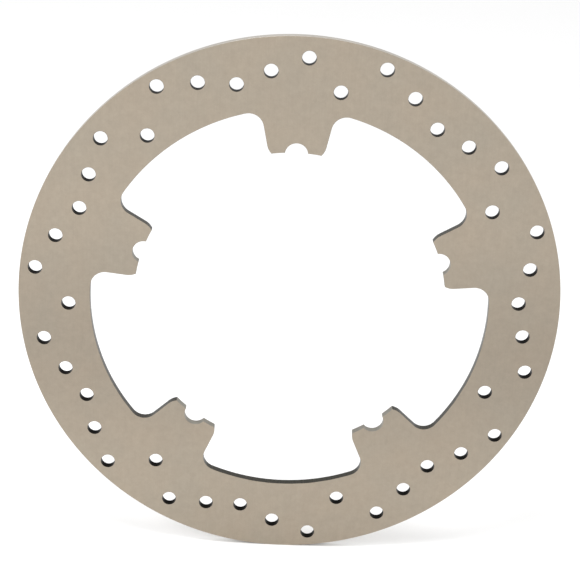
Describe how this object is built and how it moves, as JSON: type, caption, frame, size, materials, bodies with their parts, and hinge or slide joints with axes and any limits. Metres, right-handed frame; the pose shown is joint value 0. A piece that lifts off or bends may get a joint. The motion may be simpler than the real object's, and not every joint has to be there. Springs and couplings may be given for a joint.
{
  "type": "brake disc rotor",
  "caption": "Flat round brake disc rotor with a wide drilled friction ring and inward mounting lugs, each ending in a half-round bobbin notch.",
  "frame": {"origin": "centre of the disc, on the axle line, at half the plate's thickness", "axes": "+Y along the axle line, from the outer face to the hub side; +Z through the centreline of one lug; +X to the right as seen from the outer side"},
  "size_m": [0.3, 0.005, 0.3],
  "materials": {
    "ground_steel": "satin, fine ground, warm grey"
  },
  "bodies": {
    "root": {"rotor_disc": "ground_steel"}
  },
  "joints": []
}
